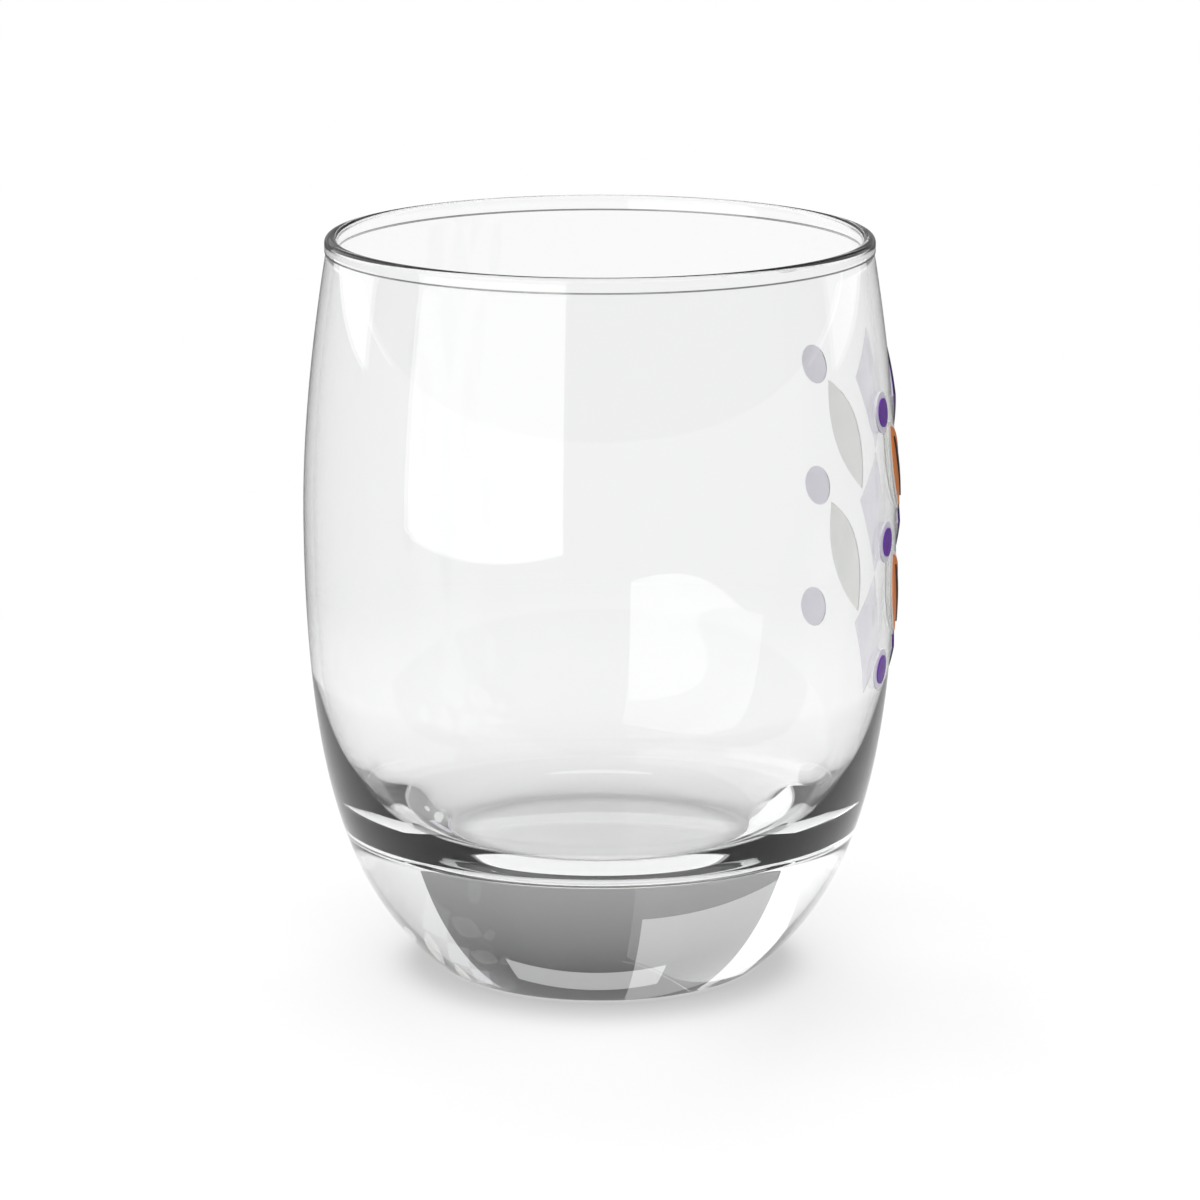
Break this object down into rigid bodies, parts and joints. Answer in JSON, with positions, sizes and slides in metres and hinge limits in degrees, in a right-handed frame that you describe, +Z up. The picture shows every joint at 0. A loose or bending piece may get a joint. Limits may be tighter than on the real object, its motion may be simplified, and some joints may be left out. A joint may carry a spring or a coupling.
{
  "type": "whisky glass",
  "caption": "Clear barrel-shaped whisky tumbler with a beaded rim, a heavy solid base and a small printed panel of lozenges and leaves on one side.",
  "frame": {"origin": "centre of the flat foot, on the surface that the glass stands on", "axes": "+Z up along the axis of the glass; +X towards the printed panel"},
  "size_m": [0.0675, 0.067, 0.0838],
  "materials": {
    "clear_glass": "clear polished glass",
    "white_ink": "satin cured ink",
    "purple_ink": "semi-gloss cured ink",
    "orange_ink": "semi-gloss cured ink",
    "black_ink": "semi-gloss cured ink"
  },
  "bodies": {
    "root": {"glass_body": "clear_glass", "lower_lozenge_underlayer": "white_ink", "lower_lozenge_field": "purple_ink", "lower_lozenge_keyline": "black_ink", "lower_lozenge_gem": "orange_ink", "lower_front_berry_underlayer": "white_ink", "lower_front_berry_field": "purple_ink", "lower_back_berry_underlayer": "white_ink", "lower_back_berry_field": "purple_ink", "middle_lozenge_underlayer": "white_ink", "middle_lozenge_field": "purple_ink", "middle_lozenge_keyline": "black_ink", "middle_lozenge_gem": "orange_ink", "middle_front_berry_underlayer": "white_ink", "middle_front_berry_field": "purple_ink", "middle_back_berry_underlayer": "white_ink", "middle_back_berry_field": "purple_ink", "upper_lozenge_underlayer": "white_ink", "upper_lozenge_field": "purple_ink", "upper_lozenge_keyline": "black_ink", "upper_lozenge_gem": "orange_ink", "upper_front_berry_underlayer": "white_ink", "upper_front_berry_field": "purple_ink", "upper_back_berry_underlayer": "white_ink", "upper_back_berry_field": "purple_ink", "lower_front_leaf_underlayer": "white_ink", "lower_front_leaf_blade": "orange_ink", "lower_front_leaf_vein": "black_ink", "lower_back_leaf_underlayer": "white_ink", "lower_back_leaf_blade": "orange_ink", "lower_back_leaf_vein": "black_ink", "upper_front_leaf_underlayer": "white_ink", "upper_front_leaf_blade": "orange_ink", "upper_front_leaf_vein": "black_ink", "upper_back_leaf_underlayer": "white_ink", "upper_back_leaf_blade": "orange_ink", "upper_back_leaf_vein": "black_ink"}
  },
  "joints": []
}
